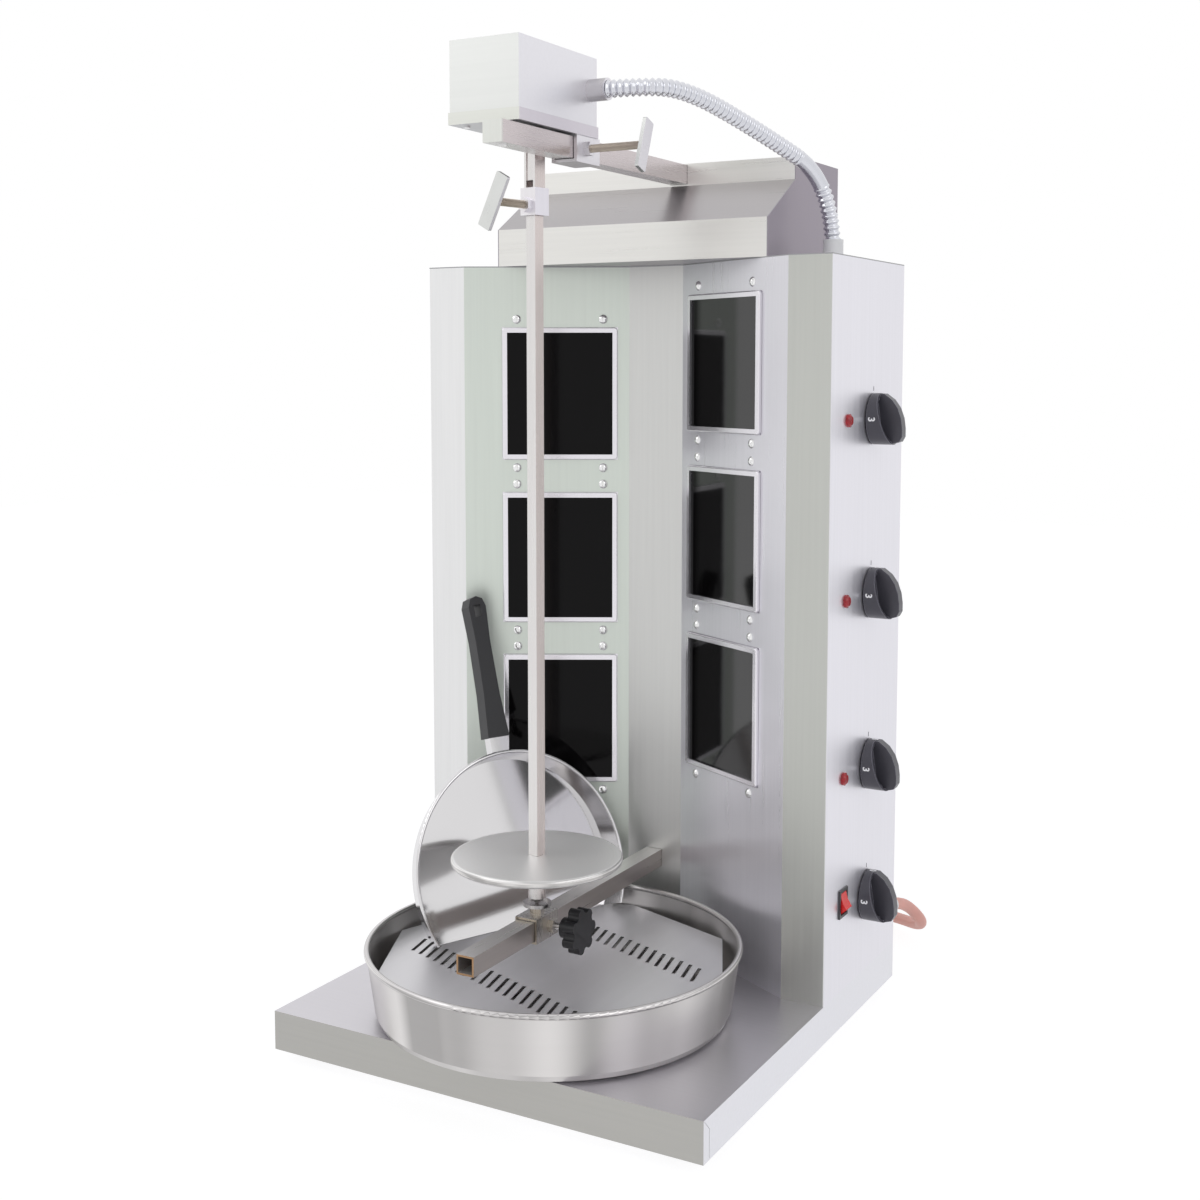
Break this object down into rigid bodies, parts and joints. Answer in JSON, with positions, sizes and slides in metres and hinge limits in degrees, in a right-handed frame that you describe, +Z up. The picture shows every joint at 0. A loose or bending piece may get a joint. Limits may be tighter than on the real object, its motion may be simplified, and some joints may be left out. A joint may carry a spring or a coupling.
{
  "type": "electric doner kebab grill",
  "caption": "Upright electric doner grill: angled steel body with heater windows, motor-driven spit on two arms, round drip pan with slotted plate and scoop.",
  "frame": {"origin": "on the surface it stands on, under the middle of the whole object without its cord", "axes": "+Z up, -Y to the front where the drip pan is, +X to the side with the knobs"},
  "size_m": [0.535, 0.7875, 1.037],
  "materials": {
    "steel": "satin, brushed",
    "bright": "bright",
    "warm": "satin, warm tone",
    "dark": "dark satin",
    "mirror": "mirror polished",
    "zinc": "zinc plated",
    "nickel": "warm plated",
    "glass": "black glass",
    "rubber": "matt",
    "knob": "moulded",
    "redlamp": "translucent red",
    "redswitch": "gloss",
    "black": "moulded",
    "white": "moulded",
    "ceramic": "unglazed",
    "motor": "painted",
    "gear": "machined",
    "cable": "silicone sheath",
    "hose": "ribbed",
    "plugm": "moulded"
  },
  "bodies": {
    "housing": {"base_tray": "steel", "rubber_feet": "rubber", "left_side_panel": "steel", "control_panel": "steel", "left_heater_panel": "steel", "right_heater_panel": "steel", "centre_panel": "steel", "back_panel": "steel", "top_plate": "steel", "hood_shell": "steel", "hood_ends": "dark", "window_frames": "steel", "glass_panes": "glass", "heater_boxes": "steel", "heater_tubes": "bright", "tube_holders": "ceramic", "window_screws": "zinc", "upper_arm": "steel", "arm_cap": "steel", "arm_stop_screw": "zinc", "lower_arm": "warm", "arm_posts": "steel", "regulators": "black", "indicator_lamps": "redlamp", "switch_frame": "black", "conduit": "hose", "top_gland": "white", "cord_gland": "white", "supply_cord": "cable", "cord_coil": "cable", "plug": "plugm"},
    "drive_head": {"motor_tray": "steel", "motor_cover": "steel", "gearcase": "gear", "motor": "motor", "head_sleeve": "steel", "tray_screws": "zinc", "head_fitting": "steel"},
    "pinion": {"motor_pinion": "gear"},
    "upper_clamp": {"upper_clamp_screw": "nickel"},
    "spindle": {"drive_shaft": "gear", "spit_holder": "steel"},
    "collar": {"holder_collar": "warm"},
    "holder_clamp": {"holder_clamp_screw": "nickel"},
    "spit": {"spit": "steel"},
    "disc": {"meat_disc": "steel"},
    "lower_slide": {"lower_slide": "warm", "pivot_cup": "zinc"},
    "star_clamp": {"star_screw": "zinc", "star_knob": "knob"},
    "pan": {"drip_pan": "steel"},
    "plate": {"drip_plate": "steel"},
    "scoop": {"scoop_dish": "mirror", "scoop_ferrule": "mirror", "scoop_handle": "knob"},
    "rocker": {"rocker": "redswitch"},
    "knob_1": {"knob_1": "knob"},
    "knob_2": {"knob_2": "knob"},
    "knob_3": {"knob_3": "knob"},
    "knob_4": {"knob_4": "knob"}
  },
  "joints": [
    {"name": "head_slide", "type": "slide", "parent": "housing", "child": "drive_head", "axis": [0, 1, 0], "range_m": [-0.06, 0.04], "deforming": ["conduit"]},
    {"name": "lower_slide_move", "type": "slide", "parent": "housing", "child": "lower_slide", "axis": [0, 1, 0], "range_m": [-0.06, 0.04]},
    {"name": "upper_clamp_turn", "type": "hinge", "parent": "drive_head", "child": "upper_clamp", "pos_m": [0.05175, -0.1, 0.9455], "axis": [1, 0, 0], "range_deg": [0, 720]},
    {"name": "spit_turn", "type": "hinge", "parent": "drive_head", "child": "spindle", "pos_m": [-0.01825, -0.132, 0.9], "axis": [0, 0, 1], "continuous": true},
    {"name": "pinion_turn", "type": "hinge", "parent": "drive_head", "child": "pinion", "pos_m": [-0.01825, -0.1107, 0.97], "axis": [0, 0, 1], "continuous": true},
    {"name": "collar_lift", "type": "slide", "parent": "spindle", "child": "collar", "axis": [0, 0, 1], "range_m": [0, 0.015]},
    {"name": "holder_clamp_turn", "type": "hinge", "parent": "collar", "child": "holder_clamp", "pos_m": [-0.02397, -0.16145, 0.889], "axis": [-0.1908, -0.9816, 0], "range_deg": [0, 720]},
    {"name": "spit_lift", "type": "slide", "parent": "spindle", "child": "spit", "axis": [0, 0, 1], "range_m": [0, 0.008]},
    {"name": "disc_lift", "type": "slide", "parent": "spit", "child": "disc", "axis": [0, 0, 1], "range_m": [0, 0.25]},
    {"name": "star_knob_turn", "type": "hinge", "parent": "lower_slide", "child": "star_clamp", "pos_m": [0.01175, -0.127, 0.154], "axis": [1, 0, 0], "range_deg": [0, 720]},
    {"name": "pan_slide", "type": "slide", "parent": "housing", "child": "pan", "axis": [0, -1, 0], "range_m": [0, 0.12]},
    {"name": "plate_lift", "type": "slide", "parent": "pan", "child": "plate", "axis": [0, 0, 1], "range_m": [0, 0.02]},
    {"name": "scoop_lift", "type": "slide", "parent": "plate", "child": "scoop", "axis": [0, 0, 1], "range_m": [0, 0.15]},
    {"name": "rocker_tilt", "type": "hinge", "parent": "housing", "child": "rocker", "pos_m": [0.22875, 0.0905, 0.1525], "axis": [0, 1, 0], "range_deg": [0, 25]},
    {"name": "knob_1_turn", "type": "hinge", "parent": "housing", "child": "knob_1", "pos_m": [0.23175, 0.1655, 0.673], "axis": [1, 0, 0], "range_deg": [0, 270]},
    {"name": "knob_2_turn", "type": "hinge", "parent": "housing", "child": "knob_2", "pos_m": [0.23175, 0.1655, 0.4815], "axis": [1, 0, 0], "range_deg": [0, 270]},
    {"name": "knob_3_turn", "type": "hinge", "parent": "housing", "child": "knob_3", "pos_m": [0.23175, 0.1655, 0.2895], "axis": [1, 0, 0], "range_deg": [0, 270]},
    {"name": "knob_4_turn", "type": "hinge", "parent": "housing", "child": "knob_4", "pos_m": [0.23175, 0.1655, 0.14], "axis": [1, 0, 0], "range_deg": [0, 270]}
  ],
  "couplings": [
    {"joint": "lower_slide_move", "follows": "head_slide", "ratio": 1},
    {"joint": "pinion_turn", "follows": "spit_turn", "ratio": -3.2}
  ]
}
